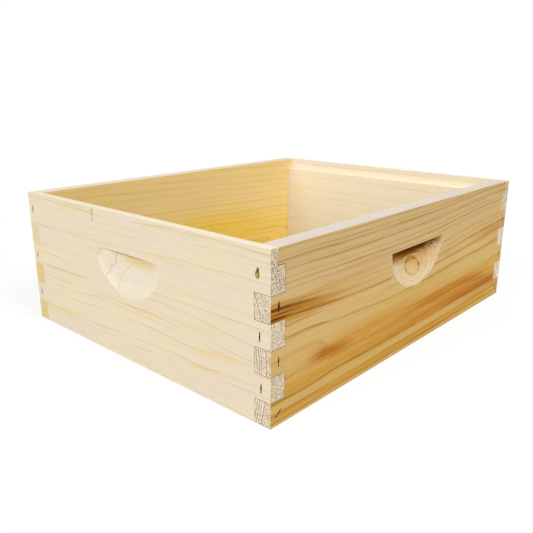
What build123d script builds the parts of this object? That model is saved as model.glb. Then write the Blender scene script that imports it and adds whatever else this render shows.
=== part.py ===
from build123d import *
import os

# A medium beehive super: four pine boards, finger jointed at the corners and stapled.
# It stands on the middle of its own footprint: X runs side to side, Y front to back, Z up.

# Driving dimensions, in millimetres

# The box, outside
BOX_LENGTH = 504.825
BOX_WIDTH = 412.75
BOX_HEIGHT = 168.275
BOARD_THICKNESS = 19.05

# Corner joints: rows of fingers between the bottom rim and the frame rest
FINGER_ROWS = 6

# Frame rest: the rebate along the inner top edge of both end boards
REST_WIDTH = 9.525
REST_DEPTH = 15.875
TONGUE_GAP = 0.5

# Handhold: a half-moon dish in every outer face
HANDHOLD_WIDTH = 114.3
HANDHOLD_HEIGHT = 47.6
HANDHOLD_DEPTH = 12.7
HANDHOLD_DROP = 44.45

# Staples: one through every finger
STAPLE_CROWN = 9.5
STAPLE_LEG = 38.0
STAPLE_WIRE_THICKNESS = 1.4
STAPLE_WIRE_WIDTH = 1.6
STAPLE_BEND_RADIUS = 1.0
STAPLE_POINT = 3.0
STAPLE_SINK = 0.9
STAPLE_BELOW_REST = 2.65

# Staples that were driven off the middle of their finger: how far towards the middle
# of the board, how far up, and the turn in degrees, anticlockwise seen from outside
STAPLE_SCATTER = {
    "front_end_left_staple_1": (-1.2, -0.6, 0),
    "front_end_left_staple_2": (-1.1, -1.8, 0),
    "front_end_left_staple_3": (-1.0, 1.9, 0),
    "front_end_right_staple_1": (1.9, -1.4, 0),
    "front_end_right_staple_2": (3.4, -2.2, 0),
    "front_end_right_staple_3": (5.4, 0.0, 0),
    "right_side_front_staple_1": (1.3, -0.4, -46),
    "right_side_front_staple_2": (1.1, -0.2, 0),
    "right_side_front_staple_3": (1.1, 0.9, 0),
}

# Sizes that follow
REST_FLOOR = BOX_HEIGHT - REST_DEPTH
REST_LIP = BOARD_THICKNESS - REST_WIDTH
FINGER_HEIGHT = REST_FLOOR / FINGER_ROWS
INSIDE_WIDTH = BOX_WIDTH - 2 * BOARD_THICKNESS
ON_FLOOR = (Align.CENTER, Align.CENTER, Align.MIN)
LEFT_RIGHT = (-1, 1)

# The top row belongs to the end boards, which carry the frame rest, and the rows take turns from there down
END_ROWS = [row for row in range(FINGER_ROWS) if (FINGER_ROWS - 1 - row) % 2 == 0]
SIDE_ROWS = [row for row in range(FINGER_ROWS) if row not in END_ROWS]


def handhold_cutter():
    """The lower half of a flattened ball, swung about an upright axis: lip at Z 0, deepest point at Y 0."""
    half_width = HANDHOLD_WIDTH / 2
    reach = (half_width**2 + HANDHOLD_DEPTH**2) / (2 * HANDHOLD_DEPTH)
    drop = reach * HANDHOLD_HEIGHT / half_width
    arc = EllipticalCenterArc((0, 0), reach, drop, start_angle=270, arc_size=90)
    quarter = make_face([arc, Line(arc @ 1, (0, 0)), Line((0, 0), arc @ 0)])
    return Pos(0, -reach, 0) * revolve(Plane.XZ * quarter, Axis.Z)


def handhold(face_distance):
    """The cutter set into a face that looks along -Y, at this distance from the middle of the box."""
    return Pos(0, HANDHOLD_DEPTH - face_distance, BOX_HEIGHT - HANDHOLD_DROP) * handhold_cutter()


def corner_sockets(rows, run, face_distance):
    """The rows that the neighbouring boards' fingers fill, at both ends of a board that runs along X."""
    socket = Box(BOARD_THICKNESS, BOARD_THICKNESS, FINGER_HEIGHT, align=ON_FLOOR)
    across = face_distance - BOARD_THICKNESS / 2
    along = (run - BOARD_THICKNESS) / 2
    return [Pos(end * along, -across, row * FINGER_HEIGHT) * socket for end in LEFT_RIGHT for row in rows]


def board_blank(run, face_distance):
    """A plain board along X that stands on its edge, its outer face looking along -Y."""
    blank = Box(run, BOARD_THICKNESS, BOX_HEIGHT, align=ON_FLOOR)
    return Pos(0, BOARD_THICKNESS / 2 - face_distance, 0) * blank


def end_board():
    """The front end board, with its fingers, handhold and frame rest."""
    face = BOX_LENGTH / 2
    rest_middle = REST_LIP + REST_WIDTH / 2 - face
    rest = Box(INSIDE_WIDTH, REST_WIDTH, REST_DEPTH, align=ON_FLOOR)
    notch = Box(BOARD_THICKNESS, REST_WIDTH, REST_DEPTH + TONGUE_GAP, align=ON_FLOOR)
    notch_place = (BOX_WIDTH - BOARD_THICKNESS) / 2
    board = board_blank(BOX_WIDTH, face)
    board -= corner_sockets(SIDE_ROWS, BOX_WIDTH, face)
    board -= Pos(0, rest_middle, REST_FLOOR) * rest
    board -= [Pos(end * notch_place, rest_middle, REST_FLOOR - TONGUE_GAP) * notch for end in LEFT_RIGHT]
    return board - handhold(face)


def side_board():
    """The right side board, with its fingers, handhold and the tongues that close the ends of the rests."""
    face = BOX_WIDTH / 2
    lip_space = Box(REST_LIP, BOARD_THICKNESS, REST_DEPTH, align=ON_FLOOR)
    lip_place = (BOX_LENGTH - REST_LIP) / 2
    board = board_blank(BOX_LENGTH, face)
    board -= corner_sockets(END_ROWS, BOX_LENGTH, face)
    board -= [
        Pos(end * lip_place, BOARD_THICKNESS / 2 - face, REST_FLOOR) * lip_space
        for end in LEFT_RIGHT
    ]
    return Rot(0, 0, 90) * (board - handhold(face))


def staple():
    """A staple of flattened wire: crown along X with its top at Z 0, two legs down to chisel points."""
    half_crown = STAPLE_CROWN / 2
    inner = half_crown - STAPLE_WIRE_THICKNESS
    outline = Polyline(
        (-half_crown, 0),
        (half_crown, 0),
        (half_crown, STAPLE_POINT - STAPLE_LEG),
        (inner, -STAPLE_LEG),
        (inner, -STAPLE_WIRE_THICKNESS),
        (-inner, -STAPLE_WIRE_THICKNESS),
        (-inner, -STAPLE_LEG),
        (-half_crown, STAPLE_POINT - STAPLE_LEG),
        close=True,
    )
    profile = make_face(outline)
    profile = fillet(profile.vertices().group_by(Axis.Y)[-1], STAPLE_BEND_RADIUS)
    return extrude(Plane.XZ * profile, STAPLE_WIRE_WIDTH / 2, both=True)


def driver_slot():
    """The slot that the staple gun's blade leaves over a sunk crown, square at the crown's bends."""
    slot = Box(STAPLE_CROWN, STAPLE_WIRE_WIDTH, STAPLE_SINK + STAPLE_BEND_RADIUS, align=ON_FLOOR)
    return Pos(0, 0, -STAPLE_BEND_RADIUS) * slot


def staple_height(row):
    """The middle of a row of fingers, but in the top row as high as the frame rest allows."""
    if row == FINGER_ROWS - 1:
        return REST_FLOOR - STAPLE_BELOW_REST - STAPLE_CROWN / 2
    return (row + 0.5) * FINGER_HEIGHT


boards = {
    "front_end_board": end_board(),
    "rear_end_board": Rot(0, 0, 180) * end_board(),
    "right_side_board": side_board(),
    "left_side_board": Rot(0, 0, 180) * side_board(),
}
pockets = {name: [] for name in boards}
staples = {}


def drive_staple(name, row, corner, outward, towards_middle, joined_boards):
    """Set one staple into a finger, crown upright, and keep the pocket that it makes in both boards."""
    inward, up, turn = STAPLE_SCATTER.get(name, (0, 0, 0))
    place = corner + towards_middle * (BOARD_THICKNESS / 2 + inward) + Vector(0, 0, staple_height(row) + up)
    face = Plane(place, x_dir=(0, 0, 1), z_dir=outward)
    seat = face.location * Pos(0, 0, -STAPLE_SINK) * Rot(0, 0, turn)
    staples[name] = seat * staple()
    for board in joined_boards:
        pockets[board] += [staples[name], seat * driver_slot()]


for end, end_way in (("front", Vector(0, -1, 0)), ("rear", Vector(0, 1, 0))):
    for side, side_way in (("left", Vector(-1, 0, 0)), ("right", Vector(1, 0, 0))):
        corner = end_way * (BOX_LENGTH / 2) + side_way * (BOX_WIDTH / 2)
        joined = (f"{end}_end_board", f"{side}_side_board")
        for number, row in enumerate(END_ROWS, start=1):
            drive_staple(f"{end}_end_{side}_staple_{number}", row, corner, end_way, -side_way, joined)
        for number, row in enumerate(SIDE_ROWS, start=1):
            drive_staple(f"{side}_side_{end}_staple_{number}", row, corner, side_way, -end_way, joined)

os.makedirs("parts", exist_ok=True)
for name, board in boards.items():
    export_step(board - pockets[name], f"parts/{name}.step")
for name, wire in staples.items():
    export_step(wire, f"parts/{name}.step")
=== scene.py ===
import math

import bmesh
import bpy
from mathutils import Euler, Matrix, Vector, noise


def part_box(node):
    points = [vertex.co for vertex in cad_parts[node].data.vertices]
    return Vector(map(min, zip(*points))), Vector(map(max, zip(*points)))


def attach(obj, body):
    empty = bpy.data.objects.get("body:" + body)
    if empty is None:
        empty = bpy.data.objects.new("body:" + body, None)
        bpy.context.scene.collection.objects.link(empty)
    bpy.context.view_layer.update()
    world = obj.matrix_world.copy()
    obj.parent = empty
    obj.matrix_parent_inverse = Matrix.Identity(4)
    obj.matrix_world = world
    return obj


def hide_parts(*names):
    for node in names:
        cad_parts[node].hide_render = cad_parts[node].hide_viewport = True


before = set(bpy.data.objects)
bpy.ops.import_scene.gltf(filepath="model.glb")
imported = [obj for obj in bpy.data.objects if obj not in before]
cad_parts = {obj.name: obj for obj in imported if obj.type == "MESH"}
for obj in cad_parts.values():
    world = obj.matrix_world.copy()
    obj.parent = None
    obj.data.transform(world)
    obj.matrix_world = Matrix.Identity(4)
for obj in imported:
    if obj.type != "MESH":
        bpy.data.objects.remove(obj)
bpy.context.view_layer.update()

# Front end board
# One of the two short boards: pale planed pine, its grain level. The fingers at its ends interlock with the
# side boards and are stapled to them. The rebate along its inner top edge carries the frames, and a dished
# handhold is milled into its outer face.
MM = 0.001
MERGE_DISTANCE = 0.001 * MM
FLAT_LIMIT = math.radians(0.2)
ARRIS = 0.35 * MM
ARRIS_MIN_TURN = math.radians(50)
ARRIS_MIN_LENGTH = 9 * MM
ARRIS_STEPS = 2
LIP_ROUND = 1.0 * MM
LIP_MIN_LENGTH = 100 * MM
LIP_STEPS = 4
HANDHOLD_LIP = 123.825


def planed_board(node):
    """A copy of a board's solid with clean flat faces, its sharp arrises taken off with fine sandpaper."""
    mesh = bmesh.new()
    mesh.from_mesh(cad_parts[node].data)
    bmesh.ops.remove_doubles(mesh, verts=mesh.verts, dist=MERGE_DISTANCE)
    bmesh.ops.dissolve_limit(mesh, angle_limit=FLAT_LIMIT, verts=mesh.verts, edges=mesh.edges)
    lip_height = HANDHOLD_LIP * MM
    lip = [
        edge for edge in mesh.edges
        if edge.calc_length() > LIP_MIN_LENGTH
        and all(abs(vert.co.z - lip_height) < MERGE_DISTANCE for vert in edge.verts)
    ]
    bmesh.ops.bevel(
        mesh, geom=lip, offset=LIP_ROUND, offset_type="OFFSET", affect="EDGES", segments=LIP_STEPS,
        profile=0.5, material=-1, clamp_overlap=True,
    )
    sharp = [edge for edge in mesh.edges if edge.is_manifold and edge.calc_face_angle() > ARRIS_MIN_TURN]
    arrises = [edge for edge in sharp if edge.calc_length() > ARRIS_MIN_LENGTH]
    bmesh.ops.bevel(
        mesh, geom=arrises, offset=ARRIS, offset_type="OFFSET", affect="EDGES", segments=ARRIS_STEPS,
        profile=0.5, material=-1, clamp_overlap=True,
    )
    return mesh


def carve(mesh, cutter, operation="DIFFERENCE"):
    """Take a cutter's shape out of a mesh, or join it on."""
    holders = []
    for label, shape in (("blank", mesh), ("cutter", cutter)):
        data = bpy.data.meshes.new(label)
        shape.to_mesh(data)
        shape.free()
        holder = bpy.data.objects.new(label, data)
        bpy.context.scene.collection.objects.link(holder)
        holders.append(holder)
    blank, tool = holders
    cut = blank.modifiers.new("cut", "BOOLEAN")
    cut.operation = operation
    cut.solver = "EXACT"
    cut.object = tool
    carved = bpy.data.meshes.new_from_object(blank.evaluated_get(bpy.context.evaluated_depsgraph_get()))
    result = bmesh.new()
    result.from_mesh(carved)
    used = [carved, blank.data, tool.data]
    bpy.data.objects.remove(blank)
    bpy.data.objects.remove(tool)
    for data in used:
        bpy.data.meshes.remove(data)
    return result


HANDHOLD_WIDTH = 114.3
HANDHOLD_HEIGHT = 47.6
HANDHOLD_DEPTH = 12.7
CUTTER_ROWS = 104
CUTTER_COLUMNS = 260
CUTTER_STANDOFF = 1.0
LIP_TRIM = 0.05
FINISHING_CUT = 0.08
RIM_WEAR = 0.3
RIM_WEAR_DEPTH = 0.9
CHATTER = 0.12
CHATTER_PITCH = 2.4
CHATTER_DRIFT = 1.5
CHATTER_PATCH_WIDTH = 22
CHATTER_PATCH_HEIGHT = 9
FUZZ = 0.04
FUZZ_SIZE = 1.6
CRACK_SHARE = 1.35
CRACK_WIDTH = 0.9
COARSE_RAG = 1.5
COARSE_RAG_PITCH = 2.3
FINE_RAG = 1.2
FINE_RAG_PITCH = 1.1


def ease(value, low, high):
    """0 below a range, 1 above it, and smooth between."""
    share = min(max((value - low) / (high - low), 0.0), 1.0)
    return share * share * (3 - 2 * share)


def tear_depth(across, height, step, fade, edge):
    """How deep fibres are torn out beside a ragged edge: a crack, and a step that fades away from it."""
    for (upper, upper_across), (lower, lower_across) in zip(edge, edge[1:]):
        if lower <= height <= upper:
            share = (upper - height) / (upper - lower)
            ragged = COARSE_RAG * noise.noise(Vector((height / COARSE_RAG_PITCH, step, 0)))
            ragged += FINE_RAG * noise.noise(Vector((height / FINE_RAG_PITCH, step, 5)))
            beside = upper_across + share * (lower_across - upper_across) + ragged - across
            crack = CRACK_SHARE * (1 - ease(abs(beside), 0, CRACK_WIDTH))
            return step * (crack + ease(beside, -0.4, 0.5) * (1 - ease(beside, 0.9, fade)))
    return 0.0


def handhold_cutter(turn, face, tears=()):
    """The milling cutter's path: the lower half of a flattened ball swung about an upright axis."""
    half_width = HANDHOLD_WIDTH / 2
    reach = (half_width**2 + HANDHOLD_DEPTH**2) / (2 * HANDHOLD_DEPTH)
    drop = reach * HANDHOLD_HEIGHT / half_width
    surface = reach - HANDHOLD_DEPTH
    mouth = surface - CUTTER_STANDOFF
    sweep = math.acos(mouth / reach)
    shape = bmesh.new()
    arc = []
    for row in range(CUTTER_ROWS + 1):
        angle = sweep * row / CUTTER_ROWS
        arc.append(shape.verts.new((0, reach * math.cos(angle), -drop * math.sin(angle))))
    shape.faces.new(arc + [shape.verts.new((0, mouth, 0))])
    bmesh.ops.rotate(shape, verts=shape.verts, cent=(0, 0, 0), matrix=Matrix.Rotation(-sweep, 3, "Z"))
    bmesh.ops.spin(
        shape, geom=shape.verts[:] + shape.edges[:] + shape.faces[:], cent=(0, 0, 0), axis=(0, 0, 1),
        dvec=(0, 0, 0), angle=2 * sweep, steps=CUTTER_COLUMNS, use_merge=False, use_duplicate=False,
    )
    bmesh.ops.recalc_face_normals(shape, faces=shape.faces)

    # Chatter marks, torn fibres and the worn rim, all outside the clean shape
    for vert in shape.verts:
        across, inward, height = vert.co
        if math.hypot(across, inward) < mouth + MERGE_DISTANCE and height > -MERGE_DISTANCE:
            continue
        outward = Vector((across / reach**2, inward / reach**2, height / drop**2)).normalized()
        waviness = noise.noise(Vector((across / CHATTER_PATCH_WIDTH, height / CHATTER_PATCH_HEIGHT, 3.7)))
        chatter = 1 + math.sin(math.tau * (height + CHATTER_DRIFT * waviness) / CHATTER_PITCH)
        chatter *= CHATTER * ease(waviness, -0.2, 0.4)
        fuzz = FUZZ * (1 + noise.noise(vert.co / FUZZ_SIZE))
        wear = RIM_WEAR * (1 - ease(inward - surface, 0, RIM_WEAR_DEPTH))
        torn = sum(tear_depth(across, height, *tear) for tear in tears)
        vert.co += outward * (FINISHING_CUT + chatter + fuzz + wear + torn)
    bmesh.ops.translate(shape, verts=shape.verts, vec=(0, -surface, LIP_TRIM))
    bmesh.ops.scale(shape, verts=shape.verts, vec=(MM, MM, MM))
    bmesh.ops.rotate(shape, verts=shape.verts, cent=(0, 0, 0), matrix=Matrix.Rotation(turn, 3, "Z"))
    bmesh.ops.translate(shape, verts=shape.verts, vec=Vector(face) + Vector((0, 0, HANDHOLD_LIP * MM)))
    return shape


def chip_cutter(centre, size, turn=(0, 0, 0)):
    """A small faceted pit, as a splinter or a knock leaves."""
    shape = bmesh.new()
    bmesh.ops.create_icosphere(shape, subdivisions=2, radius=1.0)
    bmesh.ops.scale(shape, verts=shape.verts, vec=size)
    bmesh.ops.rotate(shape, verts=shape.verts, cent=(0, 0, 0), matrix=Euler(turn).to_matrix())
    bmesh.ops.translate(shape, verts=shape.verts, vec=centre)
    return shape


SMOOTH_LIMIT = math.radians(30)
PLANE_LIMIT = 0.9999


def is_plane(face):
    """Whether a face lies square to the box."""
    return max(abs(share) for share in face.normal) > PLANE_LIMIT


def board_piece(name, mesh, material):
    """Turn a finished board mesh into the piece that stands for its solid."""
    for face in mesh.faces:
        face.smooth = True
    for edge in mesh.edges:
        flat_sides = [is_plane(face) for face in edge.link_faces]
        edge.smooth = len(set(flat_sides)) == 1 and edge.calc_face_angle(0.0) < SMOOTH_LIMIT
    data = bpy.data.meshes.new(name)
    mesh.to_mesh(data)
    mesh.free()
    data.materials.append(material)
    piece = bpy.data.objects.new(name, data)
    bpy.context.scene.collection.objects.link(piece)
    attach(piece, "root")
    return piece


def add_node(tree, kind, inputs=None, **settings):
    """Add a shader node, with its settings and with its inputs either set or linked."""
    node = tree.nodes.new(kind)
    for key, value in settings.items():
        setattr(node, key, value)
    for key, value in (inputs or {}).items():
        if isinstance(value, bpy.types.NodeSocket):
            tree.links.new(value, node.inputs[key])
        else:
            node.inputs[key].default_value = value
    return node


def calc(tree, operation, *values):
    """One step of arithmetic in a material."""
    return add_node(tree, "ShaderNodeMath", dict(enumerate(values)), operation=operation).outputs[0]


def product(tree, first, *others):
    """Multiply two or more values in a material."""
    for other in others:
        first = calc(tree, "MULTIPLY", first, other)
    return first


def remap(tree, value, low, high, to_low=0.0, to_high=1.0, curve="SMOOTHSTEP"):
    """Stretch one range of a value over another, smoothly unless told otherwise."""
    inputs = {"Value": value, "From Min": low, "From Max": high, "To Min": to_low, "To Max": to_high}
    return add_node(tree, "ShaderNodeMapRange", inputs, interpolation_type=curve).outputs[0]


def blend_colour(tree, amount, first, second, mode="MIX"):
    """Mix the second colour into the first by an amount."""
    node = add_node(tree, "ShaderNodeMix", data_type="RGBA", blend_type=mode)
    sockets = [socket for socket in node.inputs if socket.enabled]
    for socket, value in zip(sockets, (amount, first, second)):
        if isinstance(value, bpy.types.NodeSocket):
            tree.links.new(value, socket)
        elif isinstance(value, (int, float)):
            socket.default_value = value
        else:
            socket.default_value = (*value, 1.0)
    return next(socket for socket in node.outputs if socket.enabled)


def soft_patch(tree, point, centre, reach, turn=(0, 0, 0)):
    """1 in the middle of an oval patch of the board, falling smoothly to 0 at its reach along each axis."""
    inputs = {"Vector": point, "Location": centre, "Rotation": turn, "Scale": reach}
    local = add_node(tree, "ShaderNodeMapping", inputs, vector_type="TEXTURE")
    distance = add_node(tree, "ShaderNodeVectorMath", {0: local.outputs[0]}, operation="LENGTH")
    return remap(tree, distance.outputs["Value"], 1.0, 0.0)


def year_count(tree, radius, years, usual_ring):
    """How many growth rings lie within a radius: uneven between the given years, even beyond them."""
    inside = calc(tree, "MINIMUM", calc(tree, "SUBTRACT", radius, years[0]), 0.0)
    outside = calc(tree, "MAXIMUM", calc(tree, "SUBTRACT", radius, years[-1]), 0.0)
    count = calc(tree, "DIVIDE", calc(tree, "ADD", inside, outside), usual_ring)
    for inner, outer in zip(years, years[1:]):
        count = calc(tree, "ADD", count, remap(tree, radius, inner, outer, curve="LINEAR"))
    return count


def year_darkness(tree, count, darkness, seed):
    """How dark each year's late wood is: as given for the known years, by chance for the others."""
    chance = add_node(
        tree, "ShaderNodeTexWhiteNoise", {"W": calc(tree, "ADD", calc(tree, "FLOOR", count), seed)},
        noise_dimensions="1D")
    chance = remap(tree, chance.outputs["Value"], 0.0, 1.0, 0.3, 0.8)
    known_years = len(darkness)
    ramp = add_node(tree, "ShaderNodeValToRGB", {0: calc(tree, "DIVIDE", count, known_years)})
    ramp.color_ramp.interpolation = "CONSTANT"
    stops = ramp.color_ramp.elements
    stops.remove(stops[1])
    stops[0].position = 0.0
    stops[0].color = (darkness[0], darkness[0], darkness[0], 1.0)
    for year in range(1, known_years):
        stop = stops.new(year / known_years)
        stop.color = (darkness[year], darkness[year], darkness[year], 1.0)
    known = calc(tree, "COMPARE", count, known_years / 2, known_years / 2)
    return add_node(
        tree, "ShaderNodeMix", {0: known, 2: chance, 3: ramp.outputs[0]}, data_type="FLOAT").outputs[0]


# Dirt for the finger seams; also the usual painted shade inside staple slots.
DIRT_AND_SLOT_SHADE = (0.14, 0.09, 0.045)
ROSY = (1.0, 0.975, 1.0)
STRAW = (1.0, 1.0, 0.93)
WHITE = (1, 1, 1)
SKIN_DEPTH = 0.15 * MM
FRESH_DEPTH = 0.9 * MM
HAIRLINES_IN_A_RING = 3.7
RIM_BAND_START = 0.05 * MM
RIM_BAND_FULL = 0.25 * MM
RIM_BAND_FADE = 0.6 * MM
RIM_BAND_END = 1.2 * MM
RIM_SIDE = 40 * MM
RIM_CLEAR = 100 * MM
RIM_CLEAR_END = 110 * MM
TOP_FINGER_START = 127 * MM
TOP_FINGER_FULL = 133 * MM
TOP_FINGER_PORES = 0.4
PORE_STRETCH = (0.95, 0.95, 0.02)
JOINT_END = 21 * MM
JOINT_END_FULL = 20 * MM
SEAM_FOOT = 3 * MM
SEAM_FOOT_FULL = 5 * MM
SEAM_TOP = 156 * MM
SEAM_TOP_FULL = 152 * MM
CORNER_EDGE = 1.0 * MM
CORNER_EDGE_CLEAR = 2.0 * MM
FIBRE_RELIEF = 0.25 * MM
WOOD_SHINE = 0.06


def pine(
    name, box, face_axis, grain_turn, pith, rings, usual_ring, planed, milled, rim, end_grain,
    ripe_from=0.35, hairlines=0.3, swirls=(), calm=(), stains_and_shade=(), dish_stains_and_shade=(), end_stains=(),
    bruises=(), marks=(), wobble=1.0, wave_width=60, faintest=0.5, fibres=0.5, rim_fuzz_and_highlight=(0.7, 0.7),
    pore_depth=0.52, crushed_and_slot_shade_tint=DIRT_AND_SLOT_SHADE, seam_dust=(0.85, 0.85), seed=0.0,
):
    """Sawn pine as a solid: growth rings round a pith line, so that faces, end grain and dishes agree."""
    # Planed and milled wood each come as three colours: early wood, ripening wood and late wood.
    # Stains, painted shade and marks are oval patches, each with its centre, reach along the axes, turn,
    # tint and strength.
    material = bpy.data.materials.new(name)
    material.use_nodes = True
    tree = material.node_tree
    shader = tree.nodes["Principled BSDF"]
    coords = add_node(tree, "ShaderNodeTexCoord")
    point = coords.outputs["Object"]

    # In the log's own frame, in millimetres, Z runs along the pith
    inputs = {"Vector": point, "Location": pith, "Rotation": grain_turn, "Scale": (MM, MM, MM)}
    log = add_node(tree, "ShaderNodeMapping", inputs, vector_type="TEXTURE").outputs[0]

    def log_noise(across, along, detail=2.0, shift=0.0):
        stretch = {
            "Vector": log,
            "Location": (seed + shift, shift, seed),
            "Scale": (1 / across, 1 / across, 1 / along),
        }
        place = add_node(tree, "ShaderNodeMapping", stretch).outputs[0]
        texture = {"Vector": place, "Scale": 1.0, "Detail": detail}
        return add_node(tree, "ShaderNodeTexNoise", texture).outputs[0]

    # How deep a point lies under the board's planed skin
    low, high = box
    face = "XYZ".index(face_axis)
    split = add_node(tree, "ShaderNodeSeparateXYZ", {0: point})
    off_middle = calc(tree, "SUBTRACT", split.outputs[face], (low[face] + high[face]) / 2)
    depth = calc(tree, "SUBTRACT", (high[face] - low[face]) / 2, calc(tree, "ABSOLUTE", off_middle))
    below_skin = remap(tree, depth, SKIN_DEPTH, FRESH_DEPTH)

    # Growth rings, wavy along the log and ragged where a dish cuts them at a low angle
    flat = add_node(tree, "ShaderNodeVectorMath", {0: log, 1: (1, 1, 0)}, operation="MULTIPLY").outputs[0]
    radius = add_node(tree, "ShaderNodeVectorMath", {0: flat}, operation="LENGTH").outputs["Value"]
    wave = calc(tree, "SUBTRACT", log_noise(wave_width, 220, 2.0), 0.5)
    radius = calc(tree, "MULTIPLY_ADD", wave, wobble * 2, radius)
    ragged = calc(tree, "SUBTRACT", log_noise(2.5, 7, 2.0, 4.4), 0.5)
    radius = calc(tree, "MULTIPLY_ADD", ragged, remap(tree, below_skin, 0.0, 1.0, 0.12, 0.6), radius)
    for centre, reach, full_at, height in swirls:
        lift = remap(tree, soft_patch(tree, point, centre, reach), 0.0, full_at, 0.0, height)
        radius = calc(tree, "ADD", radius, lift)
    count = year_count(tree, radius, [ring for ring, dark in rings], usual_ring)
    season = calc(tree, "FRACT", count)
    dark = year_darkness(tree, count, [dark for ring, dark in rings[1:]], seed)
    presence = remap(tree, log_noise(9, 130, 2.0, 8.2), 0.32, 0.6, faintest, 1.0)
    dark = calc(tree, "MULTIPLY", dark, presence)
    for centre, reach in calm:
        faint = remap(tree, soft_patch(tree, point, centre, reach), 0.0, 0.7, 1.0, 0.15)
        dark = calc(tree, "MULTIPLY", dark, faint)
    year_end = remap(tree, season, 1.0, 0.985)
    ripening = remap(tree, season, ripe_from, ripe_from + 0.4)
    ripening = product(tree, ripening, year_end, remap(tree, dark, 0, 1, 0.1, 1))
    line_start = remap(tree, log_noise(6, 70, 2.0, 9.7), 0.35, 0.65, 0.72, 0.90)
    late_wood = product(tree, remap(tree, season, line_start, 0.975), year_end, dark)

    # The planed skin has darkened in the light, and milled surfaces below it are fresher
    early, golden, late = [
        blend_colour(tree, below_skin, outer, inner) for outer, inner in zip(planed, milled)]
    colour = blend_colour(tree, ripening, early, golden)
    cloud = blend_colour(tree, remap(tree, log_noise(24, 75, 3.0, 6.6), 0.35, 0.65), ROSY, STRAW)
    colour = blend_colour(tree, 1.0, colour, cloud, "MULTIPLY")
    fine_season = calc(tree, "FRACT", calc(tree, "MULTIPLY", count, HAIRLINES_IN_A_RING))
    hairline = product(tree, remap(tree, fine_season, 0.55, 0.9), remap(tree, fine_season, 1.0, 0.93))
    patchy = remap(tree, log_noise(7, 90, 2.0, 2.3), 0.45, 0.65, 0.0, hairlines)
    hairline = product(tree, hairline, patchy, remap(tree, below_skin, 0.0, 1.0, 1.0, 0.2))
    colour = blend_colour(tree, hairline, colour, golden)
    colour = blend_colour(tree, late_wood, colour, late)

    # Stains and painted shade, drawn out along the grain
    broad_streaks = remap(tree, log_noise(4, 150, 2.0, 3.1), 0.3, 0.6, 0.65, 1.0)
    fine_streaks = remap(tree, log_noise(1.2, 130, 1.0, 7.4), 0.35, 0.6, 0.6, 1.0)
    streaky = product(tree, broad_streaks, fine_streaks)
    in_dish = product(tree, streaky, below_skin)

    def tinted_in_patches(base, group, cover):
        for centre, reach, turn, tint, strength in group:
            patch = soft_patch(tree, point, centre, reach, turn)
            amount = product(tree, patch, cover, strength)
            base = blend_colour(tree, calc(tree, "MINIMUM", amount, 1.0), base, tint, "MULTIPLY")
        return base

    colour = tinted_in_patches(tinted_in_patches(colour, stains_and_shade, streaky), dish_stains_and_shade, in_dish)

    # Fibres: streaks along the board
    fibre = log_noise(0.8, 45, 2.0, 1.7)
    colour = blend_colour(tree, fibres, colour, remap(tree, fibre, 0.25, 0.75, 0.88, 1.09), "MULTIPLY")

    # Raised fibres along the handhold's rim, paler, partly as a painted highlight that can fade from one end
    # to the other
    along = 1 - face
    off_centre = calc(tree, "ABSOLUTE", split.outputs[along])
    rim_band = remap(tree, depth, RIM_BAND_START, RIM_BAND_FULL)
    rim_fade = remap(tree, depth, RIM_BAND_END, RIM_BAND_FADE)
    rim_near = remap(tree, off_centre, RIM_CLEAR, RIM_CLEAR_END, 1.0, 0.0)
    rim_amount = remap(tree, split.outputs[along], -RIM_SIDE, RIM_SIDE, *rim_fuzz_and_highlight)
    raised_and_lit = product(tree, rim_band, rim_fade, rim_near, rim_amount)
    colour = blend_colour(tree, raised_and_lit, colour, rim)

    # The rough-sawn edges, which look up and down, have greyed a little
    normal = add_node(
        tree, "ShaderNodeVectorMath", {0: coords.outputs["Normal"]}, operation="ABSOLUTE").outputs[0]
    upright = add_node(tree, "ShaderNodeSeparateXYZ", {0: normal}).outputs["Z"]
    on_edge = remap(tree, upright, 0.8, 0.95, 0.0, 0.85)
    colour = blend_colour(tree, on_edge, colour, blend_colour(tree, 1.0, rim, cloud, "MULTIPLY"))

    # End grain, where the surface cuts across the fibres
    axis = Vector((0, 0, 1))
    axis.rotate(Euler(grain_turn))
    across = add_node(
        tree, "ShaderNodeVectorMath", {0: coords.outputs["Normal"], 1: axis}, operation="DOT_PRODUCT")
    cut = remap(tree, calc(tree, "ABSOLUTE", across.outputs["Value"]), 0.5, 0.9)
    end_pale, end_dark = end_grain
    dark_years = remap(tree, dark, 0.1, 0.55, 0.15, 1.0)
    end_line = product(tree, remap(tree, season, 0.5, 0.9), year_end, dark_years)
    end_colour = tinted_in_patches(blend_colour(tree, end_line, end_pale, end_dark), end_stains, 1.0)
    top_pores = pore_depth * TOP_FINGER_PORES
    coarse_cut = remap(tree, split.outputs["Z"], TOP_FINGER_START, TOP_FINGER_FULL, pore_depth, top_pores)
    pore_place = add_node(tree, "ShaderNodeMapping", {"Vector": log, "Scale": PORE_STRETCH}).outputs[0]
    pores = add_node(tree, "ShaderNodeTexVoronoi", {"Vector": pore_place, "Scale": 1.0}).outputs["Distance"]
    pores = calc(tree, "MULTIPLY_ADD", log_noise(5, 80, 1.0, 5.9), 0.3, pores)
    pores = calc(tree, "MULTIPLY_ADD", log_noise(0.5, 80, 1.0, 0.7), 0.8, pores)
    pores = remap(tree, pores, 0.84, 1.12, coarse_cut, 1.06)
    end_colour = blend_colour(tree, 1.0, end_colour, pores, "MULTIPLY")
    colour = blend_colour(tree, cut, colour, end_colour)

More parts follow.
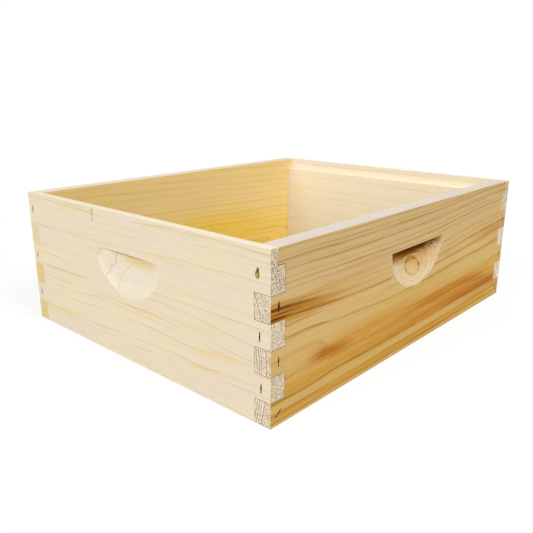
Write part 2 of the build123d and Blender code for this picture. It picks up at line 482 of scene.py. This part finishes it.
    # Crushed and frayed wood round the staples, with painted shade inside their slots, and knocks with
    # stains
    frayed = blend_colour(tree, 0.1, early, WHITE)
    for centre, reach, turn in bruises:
        patch = soft_patch(tree, point, centre, reach, turn)
        halo = product(tree, remap(tree, patch, 0.0, 0.4), remap(tree, below_skin, 0.0, 1.0, 0.35, 1.0))
        uneven = calc(tree, "MULTIPLY_ADD", ragged, 0.7, patch)
        # Crushed fibres round each slot, and painted shade over the slot's inside.
        crushed_and_slot = calc(tree, "MAXIMUM", below_skin, remap(tree, uneven, 0.38, 0.58))
        halo = calc(tree, "MAXIMUM", halo, product(tree, crushed_and_slot, remap(tree, patch, 0.0, 0.1)))
        colour = blend_colour(tree, halo, colour, blend_colour(tree, crushed_and_slot, frayed, crushed_and_slot_shade_tint))
    colour = tinted_in_patches(colour, marks, 1.0)

    # Dust in the seams: on the arrises of the fingers, clear of the rims and of the corner's own edge
    spread = add_node(tree, "ShaderNodeVectorMath", {0: normal, 1: (1, 1, 1)}, operation="DOT_PRODUCT")
    slanted = remap(tree, spread.outputs["Value"], 1.1, 1.3)
    end = high[along]
    at_joint = remap(tree, off_centre, end - JOINT_END, end - JOINT_END_FULL)
    off_foot = remap(tree, split.outputs["Z"], SEAM_FOOT, SEAM_FOOT_FULL)
    under_rim = remap(tree, split.outputs["Z"], SEAM_TOP, SEAM_TOP_FULL)
    off_edge = remap(tree, off_centre, end - CORNER_EDGE, end - CORNER_EDGE_CLEAR)
    not_corner = calc(tree, "MAXIMUM", remap(tree, upright, 0.2, 0.4), off_edge)
    dust = remap(tree, split.outputs[along], low[along], end, *seam_dust)
    seam = product(tree, slanted, at_joint, off_foot, under_rim, not_corner, dust)
    colour = blend_colour(tree, seam, colour, DIRT_AND_SLOT_SHADE)

    # Fibres and late wood stand out a little, and planed wood is smoother than milled
    relief = calc(tree, "MULTIPLY_ADD", fibre, 0.6, calc(tree, "MULTIPLY", late_wood, 0.3))
    relief = calc(tree, "MULTIPLY", relief, remap(tree, cut, 0.0, 1.0, 1.0, 0.35))
    bump = add_node(tree, "ShaderNodeBump", {"Strength": 0.25, "Distance": FIBRE_RELIEF, "Height": relief})
    tree.links.new(colour, shader.inputs["Base Color"])
    tree.links.new(bump.outputs[0], shader.inputs["Normal"])
    roughness = calc(tree, "MULTIPLY_ADD", below_skin, 0.2, remap(tree, fibre, 0.3, 0.7, 0.55, 0.7))
    tree.links.new(roughness, shader.inputs["Roughness"])
    shader.inputs["Specular IOR Level"].default_value = WOOD_SHINE
    return material


def along_x(rise):
    """Grain that runs left to right and climbs by this angle."""
    return (0, math.radians(90 - rise), 0)


def mm(*place):
    """A place or size given in millimetres, in metres."""
    return tuple(length * MM for length in place)


def spot(*place):
    """An offset given in millimetres, as a vector in metres."""
    return Vector(mm(*place))


def face_rings(pith_distance, lines):
    """Ring sizes from the heights, over the pith, at which their lines cross a board's face."""
    return [(math.hypot(pith_distance, height), dark) for height, dark in lines]


BRUISE_DEPTH = 3
BRUISE_WIDTH = 2.6
BRUISE_HEIGHT = 6.6
CRATER_STAPLE = "front_end_right_staple_3"
SKEWED_STAPLE = "right_side_front_staple_1"
SKEW = math.radians(46)


def staple_bruises(board, outward):
    """Crushed patches round the staples shot through a board's face, with painted shade in their slots."""
    outward = Vector(outward)
    reach = [BRUISE_DEPTH if share else BRUISE_WIDTH for share in outward[:2]] + [BRUISE_HEIGHT]
    patches = []
    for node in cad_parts:
        if node.startswith(board) and "staple" in node and node != CRATER_STAPLE:
            low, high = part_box(node)
            crown = (low + high) / 2 + (high - low) / 2 * outward
            turn = (-SKEW, 0, 0) if node == SKEWED_STAPLE else (0, 0, 0)
            patches.append((crown, mm(*reach), turn))
    return patches


front_low, front_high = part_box("front_end_board")
front_face = Vector((0, front_low.y, 0))
FRONT_PITH_DISTANCE = 500
FRONT_PITH_HEIGHT = -80
front_lines = (
    (70, 0.2), (94, 0.15), (107, 0.45), (115, 0.8), (124, 0.4), (130, 0.9), (140, 0.45), (146, 0.9),
    (151, 0.7), (161, 0.7), (173, 0.55), (187, 0.3), (201, 0.1), (213, 0.55), (220, 0.25), (229, 0.3),
    (236, 0.5), (243, 1.0),
)
YELLOW = (1.0, 0.92, 0.66)
# The peach below is partly the wood's warmer tone and partly painted shade under the front handhold's lip.
PEACH_LIP_SHADE = (0.89, 0.76, 0.51)
UMBER = (0.20, 0.10, 0.03)
OCHRE = (0.78, 0.50, 0.13)
# The olive below is painted shadow along the front handhold's lip.
LIP_SHADOW_OLIVE = (0.46, 0.36, 0.15)
# The grey below is painted shade on the lower part of the front handhold, which faces up into the light.
DISH_FLOOR_SHADE = (0.91, 0.91, 0.90)
# The bronze below is painted shade inside the front board's staple slots.
SLOT_SHADE_BRONZE = (0.22, 0.15, 0.05)
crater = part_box("front_end_right_staple_3")
crater_place = Vector(((crater[0].x + crater[1].x) / 2, front_low.y, (crater[0].z + crater[1].z) / 2))
front_stains_and_lip_shade = [
    (front_face + spot(22, 0, 67), mm(60, 6, 6), (0, math.radians(-5), 0), YELLOW, 0.9),
    (front_face + spot(118, 0, 30), mm(75, 6, 5), (0, math.radians(-4), 0), YELLOW, 0.9),
    (front_face + spot(130, 0, 50), mm(70, 6, 6), (0, math.radians(-4), 0), YELLOW, 1.0),
    (front_face + spot(112, 0, 72), mm(60, 6, 6), (0, math.radians(-2), 0), YELLOW, 0.8),
    (front_face + spot(-146, 0, 26), mm(60, 6, 8), (0, 0, 0), YELLOW, 0.9),
    (front_face + spot(-128, 0, 160), mm(14, 6, 4), (0, math.radians(6), 0), YELLOW, 0.7),
    (front_face + spot(-102, 0, 155), mm(24, 6, 3), (0, math.radians(4), 0), YELLOW, 0.6),
    (front_face + spot(75, 0, 132), mm(60, 6, 5), (0, math.radians(3), 0), YELLOW, 0.8),
    # Painted shadow: a thin olive line along the handhold's lip.
    (front_face + spot(0, 0.5, 123.8), mm(64, 4, 1.7), (0, 0, 0), LIP_SHADOW_OLIVE, 2.2),
    (front_face + spot(-98, 0, 165), mm(46, 4, 0.9), (0, math.radians(0.5), 0), OCHRE, 0.6),
]
front_marks = [
    (crater_place + spot(-0.5, 0, -1.2), mm(3.4, 4, 5.6), (0, 0, 0), OCHRE, 1.6),
    (crater_place + spot(0.2, 0, 2.6), mm(2.0, 4, 2.4), (0, 0, 0), UMBER, 1.5),
    (front_face + spot(-61, 0, 159), mm(1.7, 4, 9), (0, 0, 0), OCHRE, 0.9),
    (front_face + spot(-61, 0, 165), mm(4.0, 4, 2.4), (0, 0, 0), OCHRE, 0.9),
    (front_face + spot(-60.6, 0, 153.4), mm(1.2, 4, 1.6), (0, 0, 0), UMBER, 0.9),
]
front_dish_tone_and_shade = [
    # Partly the wood's warmer tone, partly painted shade under the handhold's lip.
    (front_face + spot(8, 14, 123), mm(58, 26, 20), (0, 0, 0), PEACH_LIP_SHADE, 2.6),
    # Painted shade, neutral grey, on the lower part of the handhold that faces up into the light.
    (front_face + spot(0, 2, 77), mm(64, 8, 13), (0, 0, 0), DISH_FLOOR_SHADE, 1.6),
]
front_pine = pine(
    "front_end_pine", box=(front_low, front_high), face_axis="Y", grain_turn=along_x(0.3),
    pith=front_face + spot(0, -FRONT_PITH_DISTANCE, FRONT_PITH_HEIGHT),
    rings=face_rings(FRONT_PITH_DISTANCE, front_lines), usual_ring=3.6,
    planed=((0.80, 0.70, 0.535), (0.80, 0.665, 0.42), (0.66, 0.50, 0.22)),
    milled=((0.845, 0.765, 0.615), (0.845, 0.75, 0.565), (0.82, 0.70, 0.48)),
    rim=(0.74, 0.67, 0.54), end_grain=((0.775, 0.64, 0.46), (0.62, 0.49, 0.34)), ripe_from=0.55,
    stains_and_shade=front_stains_and_lip_shade, dish_stains_and_shade=front_dish_tone_and_shade, bruises=staple_bruises("front_end", (0, -1, 0)),
    marks=front_marks, wobble=4.0, wave_width=32, faintest=0.2, hairlines=0.15, fibres=0.3,
    rim_fuzz_and_highlight=(0.3, 0.3), pore_depth=0.42, crushed_and_slot_shade_tint=SLOT_SHADE_BRONZE, seam_dust=(0.1, 0.85), seed=2.0)

# Fibres torn out beside three ragged edges in the handhold, given by height under the lip and place across
front_tears = (
    (0.9, 11, ((0, -28), (-7, -32), (-16, -32), (-22, -39), (-25.5, -38), (-32, -44))),
    (0.65, 9, ((-12, -8), (-17, -11.4), (-24, -19), (-33, -22), (-42, -22))),
    (0.75, 5, ((0, -51), (-6, -53.5), (-12, -56))),
)
front_mesh = planed_board("front_end_board")
front_mesh = carve(front_mesh, handhold_cutter(0, front_face, front_tears))
front_mesh = carve(front_mesh, chip_cutter(crater_place + spot(-0.3, 0, -1.4), mm(2.6, 0.6, 3.7)))
front_mesh = carve(front_mesh, chip_cutter(crater_place + spot(0.2, 0, 2.4), mm(1.6, 1.1, 2.2)))
front_mesh = carve(front_mesh, chip_cutter(front_face + spot(-61, 0, 159), mm(0.75, 0.4, 6.6)))
front_mesh = carve(front_mesh, chip_cutter(front_face + spot(-61, 0, 165), mm(3.0, 0.4, 1.1)))
sliver = chip_cutter(crater_place + spot(-0.7, 0.5, -2.0), mm(2.0, 0.35, 2.9))
front_mesh = carve(front_mesh, sliver, "UNION")
front = board_piece("front_end", front_mesh, front_pine)
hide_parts("front_end_board")

# Rear end board
# The other short board, cut from the same pale stock as the front one and turned round.
# It shows its inner face, with the frame rest along the top.
rear_low, rear_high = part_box("rear_end_board")
REAR_PITH_DISTANCE = 420
REAR_PITH_HEIGHT = 300
rear_lines = ((-160, 0.3), (-182, 0.3), (-193, 0.4), (-202, 0.2), (-220, 0.3), (-240, 0.4), (-262, 0.4))
rear_pine = pine(
    "rear_end_pine", box=(rear_low, rear_high), face_axis="Y", grain_turn=along_x(0),
    pith=(0, rear_low.y + REAR_PITH_DISTANCE * MM, REAR_PITH_HEIGHT * MM),
    rings=face_rings(REAR_PITH_DISTANCE, rear_lines), usual_ring=4.0,
    planed=((0.88, 0.79, 0.60), (0.88, 0.755, 0.50), (0.80, 0.61, 0.30)),
    milled=((0.84, 0.77, 0.62), (0.83, 0.72, 0.52), (0.78, 0.62, 0.36)),
    rim=(0.76, 0.69, 0.56), end_grain=((0.88, 0.73, 0.55), (0.56, 0.43, 0.29)),
    bruises=staple_bruises("rear_end", (0, 1, 0)), wobble=2.0, fibres=0.25, rim_fuzz_and_highlight=(0.3, 0.3),
    seam_dust=(0.3, 0.3), seed=11.0)
rear_mesh = carve(planed_board("rear_end_board"), handhold_cutter(math.pi, (0, rear_high.y, 0)))
rear = board_piece("rear_end", rear_mesh, rear_pine)
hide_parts("rear_end_board")

# Right side board
# One of the two long boards: golden pine, sawn flat, with dark lines along its top, a dark streak at the
# front corner and resin stains low down. It has the same fingers, staples and handhold, and a tongue at both
# top corners that closes the end of the frame rest.


def along_y(rise):
    """Grain that runs front to back and climbs by this angle."""
    return (math.radians(rise - 90), 0, 0)


right_low, right_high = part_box("right_side_board")
right_face = Vector((right_high.x, 0, 0))
RIGHT_PITH_DEPTH = 190
RIGHT_PITH_HEIGHT = 56.4
right_inner_depths = (
    (19, 0.3), (15.5, 0.5), (12.5, 0.7), (10, 0.7), (7.3, 0.4), (3.8, 1.0), (2.4, 0.45), (0.5, 0.5),
)
right_lines = (
    (12.5, 0.4), (30.9, 0.6), (41.6, 0.6), (49.3, 0.95), (55, 0.35), (61.2, 0.55), (74.6, 0.25),
    (79.9, 0.9), (84.6, 0.5), (92.6, 0.6), (94.6, 0.5), (101.9, 0.75), (105.9, 0.65), (111.9, 0.5),
)
right_rings = [(RIGHT_PITH_DEPTH - depth, dark) for depth, dark in right_inner_depths]
right_rings += face_rings(RIGHT_PITH_DEPTH, right_lines)
right_swirls = [
    (right_face + spot(0, 250, 54), mm(600, 470, 600), 0.05, 0.55),
    (right_face + spot(-8, 8, 73), mm(10, 52, 45), 1.0, -2.9),
    (right_face + spot(0, -30, 98), mm(7, 215, 60), 1.0, 1.15),
    (right_face + spot(0, 280, 150), mm(600, 330, 90), 1.0, -3.4),
    (right_face + spot(0, 60, 8), mm(600, 560, 44), 1.0, -1.1),
]
right_calm = [
    (right_face + spot(-3, -47, 100), mm(14, 17, 26)),
    (right_face + spot(0, -150, 18), mm(16, 160, 8)),
    (right_face + spot(0, -130, 89), mm(5, 140, 9)),
]
BROWN = (0.32, 0.16, 0.045)
# The near-black below is painted shade inside the right board's staple slots.
SLOT_SHADE_BLACK = (0.03, 0.018, 0.01)
HONEY = (0.86, 0.66, 0.34)
ORANGE = (0.93, 0.74, 0.38)
AMBER = (0.76, 0.47, 0.13)
# The dark brown below is painted shadow under the right handhold's lip.
LIP_SHADOW_BROWN = (0.43, 0.22, 0.022)
SAFFRON = (0.98, 0.87, 0.44)
LEMON = (1.0, 0.985, 0.76)
TAN = (0.87, 0.87, 0.87)
right_stains = [
    (right_face + spot(0, 0, 0), mm(500, 4000, 100), (0, 0, 0), SAFFRON, 1.0),
    (right_face + spot(0, 0, 66), mm(500, 4000, 62), (0, 0, 0), LEMON, 1.0),
    (right_face + spot(0, 0, 165), mm(16, 4000, 62), (0, 0, 0), TAN, 1.0),
    (right_face + spot(0, -262, 109), mm(16, 145, 16), (math.radians(-3), 0, 0), HONEY, 2.4),
    (right_face + spot(0, -240, 112.6), mm(16, 72, 2.9), (math.radians(-3.2), 0, 0), BROWN, 1.7),
    (right_face + spot(0, -232, 116.8), mm(16, 70, 1.6), (math.radians(-3), 0, 0), BROWN, 0.4),
    (right_face + spot(0, -258, 109), mm(16, 110, 9), (math.radians(-3), 0, 0), AMBER, 0.9),
    (right_face + spot(0, -240, 108.4), mm(16, 52, 1.3), (math.radians(-3.6), 0, 0), BROWN, 1.0),
    (right_face + spot(0, -255, 104.7), mm(16, 42, 2.6), (math.radians(-2), 0, 0), BROWN, 2.0),
    (right_face + spot(0, -195, 100.8), mm(16, 62, 1.3), (math.radians(-4), 0, 0), BROWN, 1.2),
    (right_face + spot(0, -140, 117), mm(16, 170, 6), (0, 0, 0), HONEY, 0.7),
    (right_face + spot(0, -140, 98), mm(16, 150, 5), (0, 0, 0), HONEY, 1.0),
    (right_face + spot(0, -150, 106), mm(16, 120, 8), (0, 0, 0), HONEY, 0.5),
    (right_face + spot(0, -90, 126), mm(16, 120, 7), (0, 0, 0), HONEY, 0.4),
    (right_face + spot(0, 70, 98), mm(16, 45, 8), (0, 0, 0), HONEY, 0.6),
    (right_face + spot(0, 215, 105), mm(16, 110, 12), (math.radians(4), 0, 0), HONEY, 1.2),
    (right_face + spot(0, 190, 116), mm(16, 170, 18), (math.radians(4), 0, 0), HONEY, 0.35),
    (right_face + spot(0, 225, 89), mm(16, 60, 8), (math.radians(4), 0, 0), HONEY, 0.7),
    (right_face + spot(0, 20, 68), mm(16, 110, 14), (0, 0, 0), ORANGE, 0.35),
    (right_face + spot(0, -163, 47), mm(16, 52, 12), (math.radians(-4), 0, 0), AMBER, 1.5),
    (right_face + spot(0, -100, 50), mm(16, 150, 23), (0, 0, 0), ORANGE, 1.3),
    (right_face + spot(0, -60, 31), mm(16, 620, 14), (0, 0, 0), ORANGE, 1.7),
    (right_face + spot(0, 90, 46), mm(16, 290, 24), (0, 0, 0), ORANGE, 1.7),
    (right_face + spot(0, 195, 31), mm(16, 220, 14), (0, 0, 0), AMBER, 1.0),
    (right_face + spot(0, 80, 48), mm(16, 150, 11), (0, 0, 0), AMBER, 1.0),
    (right_face + spot(0, 175, 42), mm(16, 90, 8), (math.radians(-7), 0, 0), AMBER, 0.8),
    (right_face + spot(0, -20, 9), mm(16, 400, 7), (0, 0, 0), ORANGE, 2.2),
    (right_face + spot(0, 190, 17), mm(16, 200, 8), (0, 0, 0), ORANGE, 1.0),
]
# Painted shadow under the handhold's lip, in two dark brown patches, and a honey stain in the wood below it.
right_dish_shade_and_stain = [
    (right_face + spot(-13, -16, 124), mm(34, 120, 24), (0, 0, 0), LIP_SHADOW_BROWN, 3.0),
    (right_face + spot(-13, -12, 124), mm(34, 110, 14), (0, 0, 0), LIP_SHADOW_BROWN, 2.0),
    (right_face + spot(-11, 14, 108), mm(24, 60, 30), (0, 0, 0), HONEY, 1.5),
]
right_specks = [
    (right_face + spot(0, -201, 96.7), mm(3, 1.3, 1.0), (0, 0, 0)),
    (right_face + spot(0, -145, 43.3), mm(3, 1.1, 0.9), (0, 0, 0)),
    (right_face + spot(0, 88, 145), mm(3, 1.6, 0.9), (0, 0, 0)),
]
streak_low, streak_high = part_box("right_side_front_staple_3")
streak_middle = (streak_low + streak_high) / 2
streak_crown = Vector((right_high.x, streak_middle.y, streak_middle.z))
right_marks = [(streak_crown, mm(4, 2.4, 6.5), (0, 0, 0), UMBER, 1.5)]
right_pine = pine(
    "right_side_pine", box=(right_low, right_high), face_axis="X", grain_turn=along_y(0.53),
    pith=right_face + spot(-RIGHT_PITH_DEPTH, 0, RIGHT_PITH_HEIGHT),
    rings=right_rings, usual_ring=3.5,
    planed=((0.66, 0.472, 0.224), (0.59, 0.35, 0.083), (0.28, 0.13, 0.025)),
    milled=((0.71, 0.575, 0.40), (0.67, 0.51, 0.27), (0.40, 0.19, 0.045)),
    rim=(0.64, 0.585, 0.53), end_grain=((0.885, 0.75, 0.56), (0.40, 0.285, 0.18)), ripe_from=0.5,
    hairlines=0.7, swirls=right_swirls, calm=right_calm, stains_and_shade=right_stains, dish_stains_and_shade=right_dish_shade_and_stain,
    bruises=staple_bruises("right_side", (1, 0, 0)) + right_specks, marks=right_marks, wobble=0.6,
    rim_fuzz_and_highlight=(0.75, 0.25), crushed_and_slot_shade_tint=SLOT_SHADE_BLACK, seam_dust=(0.85, 0.3), seed=5.0)
right_mesh = carve(planed_board("right_side_board"), handhold_cutter(math.pi / 2, right_face))
right = board_piece("right_side", right_mesh, right_pine)
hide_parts("right_side_board")

# Left side board
# The other long board, of the same golden stock. Its inner face shows level lines that close in a cathedral
# low down at the rear.
left_low, left_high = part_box("left_side_board")
LEFT_PITH_DEPTH = 170
LEFT_PITH_HEIGHT = 34
left_lines = (
    (9, 0.6), (19, 0.7), (29, 0.8), (38, 0.5), (47, 0.6), (54, 0.35), (63, 0.7), (70, 0.3), (78, 0.6),
    (85, 0.3), (92, 0.5), (103, 0.35), (112, 0.5), (122, 0.3), (136, 0.4),
)
left_face = Vector((left_high.x, 0, 0))
left_swirls = [(left_face + spot(0, 330, 34), mm(600, 190, 60), 1.0, 3.0)]
# The gold below is partly the board's own tone and partly painted warm bounce light.
GOLD_AND_WARM_BOUNCE = (1.0, 0.91, 0.38)
# The dull grey below is painted shade.
LEFT_WALL_SHADE = (0.86, 0.85, 0.83)
WHEAT = (0.97, 0.92, 0.68)
left_wall_tone_and_shade = [
    # Yellower low down and towards the rear: partly the board's own tone, partly painted warm bounce light.
    (left_face + spot(0, 200, 20), mm(16, 400, 95), (0, 0, 0), GOLD_AND_WARM_BOUNCE, 1.1),
    (left_face + spot(0, 30, 62), mm(16, 220, 62), (0, 0, 0), GOLD_AND_WARM_BOUNCE, 1.7),
    # Painted shade: the inner face darker towards the front and the top.
    (left_face + spot(0, -260, 150), mm(16, 480, 130), (0, 0, 0), LEFT_WALL_SHADE, 1.2),
]
left_end_stains = [(spot(-200, -252, 40), mm(80, 80, 75), (0, 0, 0), WHEAT, 2.0)]
left_pine = pine(
    "left_side_pine", box=(left_low, left_high), face_axis="X", grain_turn=along_y(-2.5),
    pith=left_face + spot(-LEFT_PITH_DEPTH, 0, LEFT_PITH_HEIGHT),
    rings=face_rings(LEFT_PITH_DEPTH, left_lines), usual_ring=3.35,
    planed=((0.80, 0.595, 0.26), (0.77, 0.535, 0.17), (0.64, 0.40, 0.09)),
    milled=((0.76, 0.62, 0.40), (0.70, 0.50, 0.22), (0.52, 0.29, 0.09)),
    rim=(0.73, 0.655, 0.53), end_grain=((0.80, 0.65, 0.43), (0.72, 0.55, 0.32)), ripe_from=0.5,
    swirls=left_swirls, stains_and_shade=left_wall_tone_and_shade, end_stains=left_end_stains,
    bruises=staple_bruises("left_side", (-1, 0, 0)), wobble=1.2, wave_width=40, faintest=0.3, fibres=0.35,
    pore_depth=0.85, seam_dust=(0.1, 0.3), seed=17.0)
left_mesh = carve(planed_board("left_side_board"), handhold_cutter(-math.pi / 2, (left_low.x, 0, 0)))
left = board_piece("left_side", left_mesh, left_pine)
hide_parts("left_side_board")

# Staples
# Two dozen wire staples, one shot through every finger with its crown sunk below the surface. The drawn
# wire has an amber brown coat of resin, scratched along its length by the gun's blade. The one on the right
# board's dark streak is black.
WIRE_PATCHES = 420.0
WIRE_SCRATCHES = (6000, 6000, 400)
SCRATCH_DEPTH = 0.05 * MM
WIRE_SHINE = 0.05
PALE_RESIN = (0.32, 0.18, 0.045)
DARK_RESIN = (0.12, 0.066, 0.016)
BLACK_WIRE = (0.008, 0.005, 0.004)
wire = bpy.data.materials.new("staple_wire")
wire.use_nodes = True
tree = wire.node_tree
wire_shader = tree.nodes["Principled BSDF"]
wire_point = add_node(tree, "ShaderNodeTexCoord").outputs["Object"]
patches = {"Vector": wire_point, "Scale": WIRE_PATCHES, "Detail": 3.0}
patchiness = add_node(tree, "ShaderNodeTexNoise", patches).outputs[0]
stretch = {"Vector": wire_point, "Scale": WIRE_SCRATCHES}
scratch_place = add_node(tree, "ShaderNodeMapping", stretch).outputs[0]
scratch_noise = {"Vector": scratch_place, "Scale": 1.0, "Detail": 2.0}
scratches = add_node(tree, "ShaderNodeTexNoise", scratch_noise).outputs[0]
resin = blend_colour(tree, remap(tree, patchiness, 0.4, 0.62), PALE_RESIN, DARK_RESIN)
# The staple on the right board's dark streak is coloured black.
blackened = remap(tree, soft_patch(tree, wire_point, streak_crown, mm(8, 8, 8)), 0.0, 0.2)
resin = blend_colour(tree, blackened, resin, BLACK_WIRE)
tree.links.new(resin, wire_shader.inputs["Base Color"])
tree.links.new(remap(tree, scratches, 0.3, 0.7, 0.5, 0.7), wire_shader.inputs["Roughness"])
scratch_relief = {"Strength": 0.3, "Distance": SCRATCH_DEPTH, "Height": scratches}
wire_bump = add_node(tree, "ShaderNodeBump", scratch_relief)
tree.links.new(wire_bump.outputs[0], wire_shader.inputs["Normal"])
wire_shader.inputs["Specular IOR Level"].default_value = WIRE_SHINE
for node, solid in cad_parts.items():
    if "staple" in node:
        solid.data.materials[0] = wire

# Floor
# A plain white sheet that the box stands on. Close to the box it takes a faint shadow, and further off it
# is as white as the room.
FLOOR_SIZE = 6
SHADOW_FROM = 0.26
SHADOW_END = 0.6
floor_mesh = bpy.data.meshes.new("floor")
shape = bmesh.new()
bmesh.ops.create_grid(shape, x_segments=1, y_segments=1, size=FLOOR_SIZE)
shape.to_mesh(floor_mesh)
shape.free()
floor = bpy.data.objects.new("floor", floor_mesh)
bpy.context.scene.collection.objects.link(floor)


def seen_directly(tree):
    """1 for what the camera sees, also in a reflection or through glass."""
    path = add_node(tree, "ShaderNodeLightPath").outputs
    bounced = calc(tree, "MAXIMUM", path["Is Glossy Ray"], path["Is Transmission Ray"])
    return calc(tree, "MAXIMUM", path["Is Camera Ray"], bounced)


paper = bpy.data.materials.new("white_paper")
paper.use_nodes = True
tree = paper.node_tree
tree.nodes.clear()
floor_point = add_node(tree, "ShaderNodeTexCoord").outputs["Object"]
away = add_node(tree, "ShaderNodeVectorMath", {0: floor_point}, operation="LENGTH").outputs["Value"]
whiteness = remap(tree, away, SHADOW_FROM, SHADOW_END, 0.82, 1.0)
seen = seen_directly(tree)
paper_colour = blend_colour(tree, seen, (0.4, 0.4, 0.4), (0.9, 0.9, 0.9))
dull = add_node(tree, "ShaderNodeBsdfDiffuse", {"Color": paper_colour})
glow = add_node(tree, "ShaderNodeEmission", {"Color": (1, 1, 1, 1), "Strength": 1.0})
amount = calc(tree, "MULTIPLY", seen, whiteness)
sheet = add_node(tree, "ShaderNodeMixShader", {0: amount, 1: dull.outputs[0], 2: glow.outputs[0]})
add_node(tree, "ShaderNodeOutputMaterial", {"Surface": sheet.outputs[0]})
floor_mesh.materials.append(paper)

# Light
# A white room, a soft box high up on the right, a broad one in front, a small one overhead for the inside,
# and a low one behind that lightens the far sides and shows in no reflection.
ROOM_LIGHT = 0.30
world = bpy.data.worlds.new("studio")
bpy.context.scene.world = world
world.use_nodes = True
tree = world.node_tree
tree.nodes.clear()
room_level = remap(tree, seen_directly(tree), 0.0, 1.0, ROOM_LIGHT, 1.0)
sky = add_node(tree, "ShaderNodeBackground", {"Color": (1, 1, 1, 1), "Strength": room_level})
add_node(tree, "ShaderNodeOutputWorld", {"Surface": sky.outputs[0]})


def soft_lamp(name, place, aim, size, power):
    """A round soft box that points at a spot."""
    lamp = bpy.data.lights.new(name, "AREA")
    lamp.shape = "DISK"
    lamp.size = size
    lamp.energy = power
    holder = bpy.data.objects.new(name, lamp)
    holder.location = place
    holder.rotation_euler = (Vector(aim) - Vector(place)).to_track_quat("-Z", "Y").to_euler()
    bpy.context.scene.collection.objects.link(holder)
    return holder


soft_lamp("right_lamp", place=(3.6, -0.2, 3.7), aim=(0, 0, 0.08), size=1.6, power=200)
soft_lamp("front_lamp", place=(-0.2, -5.0, 1.7), aim=(0, 0, 0.08), size=3.0, power=174)
soft_lamp("top_lamp", place=(0.1, -0.3, 1.6), aim=(0, 0, 0.08), size=0.9, power=3)
rear_lamp = soft_lamp("rear_lamp", place=(-3.2, 4.2, 0.5), aim=(0, 0, 0.08), size=0.8, power=140)
rear_lamp.visible_glossy = False

# Camera
# At the viewing angle of the photograph, a little above the rim and close to the front right corner.
camera_data = bpy.data.cameras.new("camera")
camera_data.sensor_fit = "HORIZONTAL"
camera_data.sensor_width = 36.0
camera_data.lens = 40.55
camera = bpy.data.objects.new("camera", camera_data)
camera.location = (0.5237, -0.6059, 0.2973)
camera.rotation_euler = (math.radians(73.184), 0, math.radians(42.335))
bpy.context.scene.collection.objects.link(camera)
bpy.context.scene.camera = camera
bpy.context.scene.view_settings.view_transform = "Standard"
